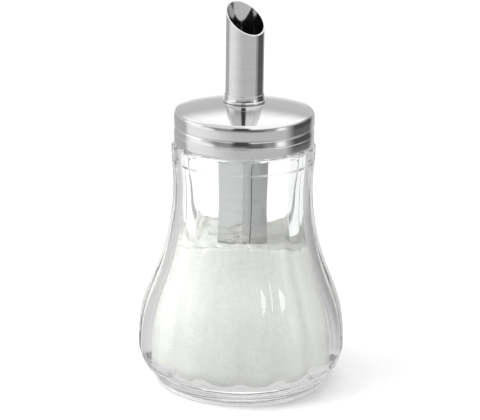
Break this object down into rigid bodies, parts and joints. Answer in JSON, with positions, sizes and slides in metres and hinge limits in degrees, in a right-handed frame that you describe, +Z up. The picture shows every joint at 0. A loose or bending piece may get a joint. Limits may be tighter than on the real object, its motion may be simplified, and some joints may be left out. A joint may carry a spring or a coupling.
{
  "type": "sugar dispenser",
  "caption": "Fluted pear-shaped glass sugar dispenser with a domed steel screw cap and a slant-cut pouring tube that reaches down into the sugar.",
  "frame": {"origin": "centre of the jar's foot, on the surface that the jar stands on", "axes": "+Z up along the jar's axis, through the pouring tube; the low side of the tube's slanted mouth points 54 degrees from +X towards -Y, the front"},
  "size_m": [0.083, 0.0822, 0.1521],
  "materials": {
    "jar_glass": "clear moulded soda-lime glass",
    "sugar": "white granulated sugar, matt and grainy",
    "cap_steel": "polished stainless steel sheet",
    "insert_plastic": "natural white moulded plastic",
    "seal_rubber": "pale soft seal",
    "tube_steel": "bright rolled stainless steel sheet",
    "ferrule_steel": "polished stainless steel",
    "lock_steel": "plain stainless steel"
  },
  "bodies": {
    "jar": {"glass_jar": "jar_glass", "sugar_fill": "sugar"},
    "seal": {"seal_ring": "seal_rubber"},
    "cap": {"cap_shell": "cap_steel", "thread_insert": "insert_plastic", "spout_tube": "tube_steel", "foot_ferrule": "ferrule_steel", "lock_ring": "lock_steel"}
  },
  "joints": [
    {"name": "cap_rise", "type": "slide", "parent": "jar", "child": "seal", "axis": [0, 0, 1], "range_m": [0, 0.0048]},
    {"name": "cap_turn", "type": "hinge", "parent": "seal", "child": "cap", "pos_m": [0, 0, 0.1], "axis": [0, 0, 1], "range_deg": [0, 576]}
  ],
  "couplings": [
    {"joint": "cap_rise", "follows": "cap_turn", "m_per_rad": 0.00047746}
  ]
}
